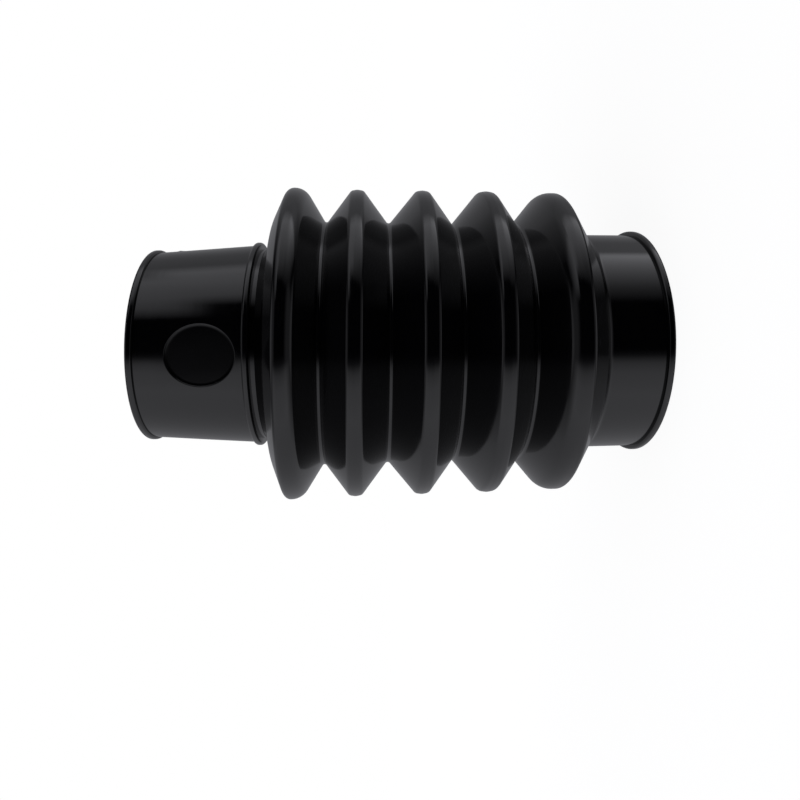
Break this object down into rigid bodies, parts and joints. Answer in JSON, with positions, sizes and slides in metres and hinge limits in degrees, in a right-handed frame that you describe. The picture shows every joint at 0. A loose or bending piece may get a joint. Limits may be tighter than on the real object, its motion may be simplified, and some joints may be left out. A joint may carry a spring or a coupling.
{
  "type": "rubber bellows",
  "caption": "Round rubber bellows with deep folds between a narrow collar, which has a rim, a clamp bead and an oval recess in its side, and a wide rimmed collar.",
  "frame": {"origin": "centre of the large collar's end face, on the axis", "axes": "+Z along the axis from the large end to the small end, -Y through the middle of the oval recess"},
  "size_m": [0.1076, 0.1076, 0.17],
  "materials": {
    "rubber": "smooth moulded black rubber with a soft gloss"
  },
  "bodies": {
    "root": {"bellows": "rubber"}
  },
  "joints": []
}
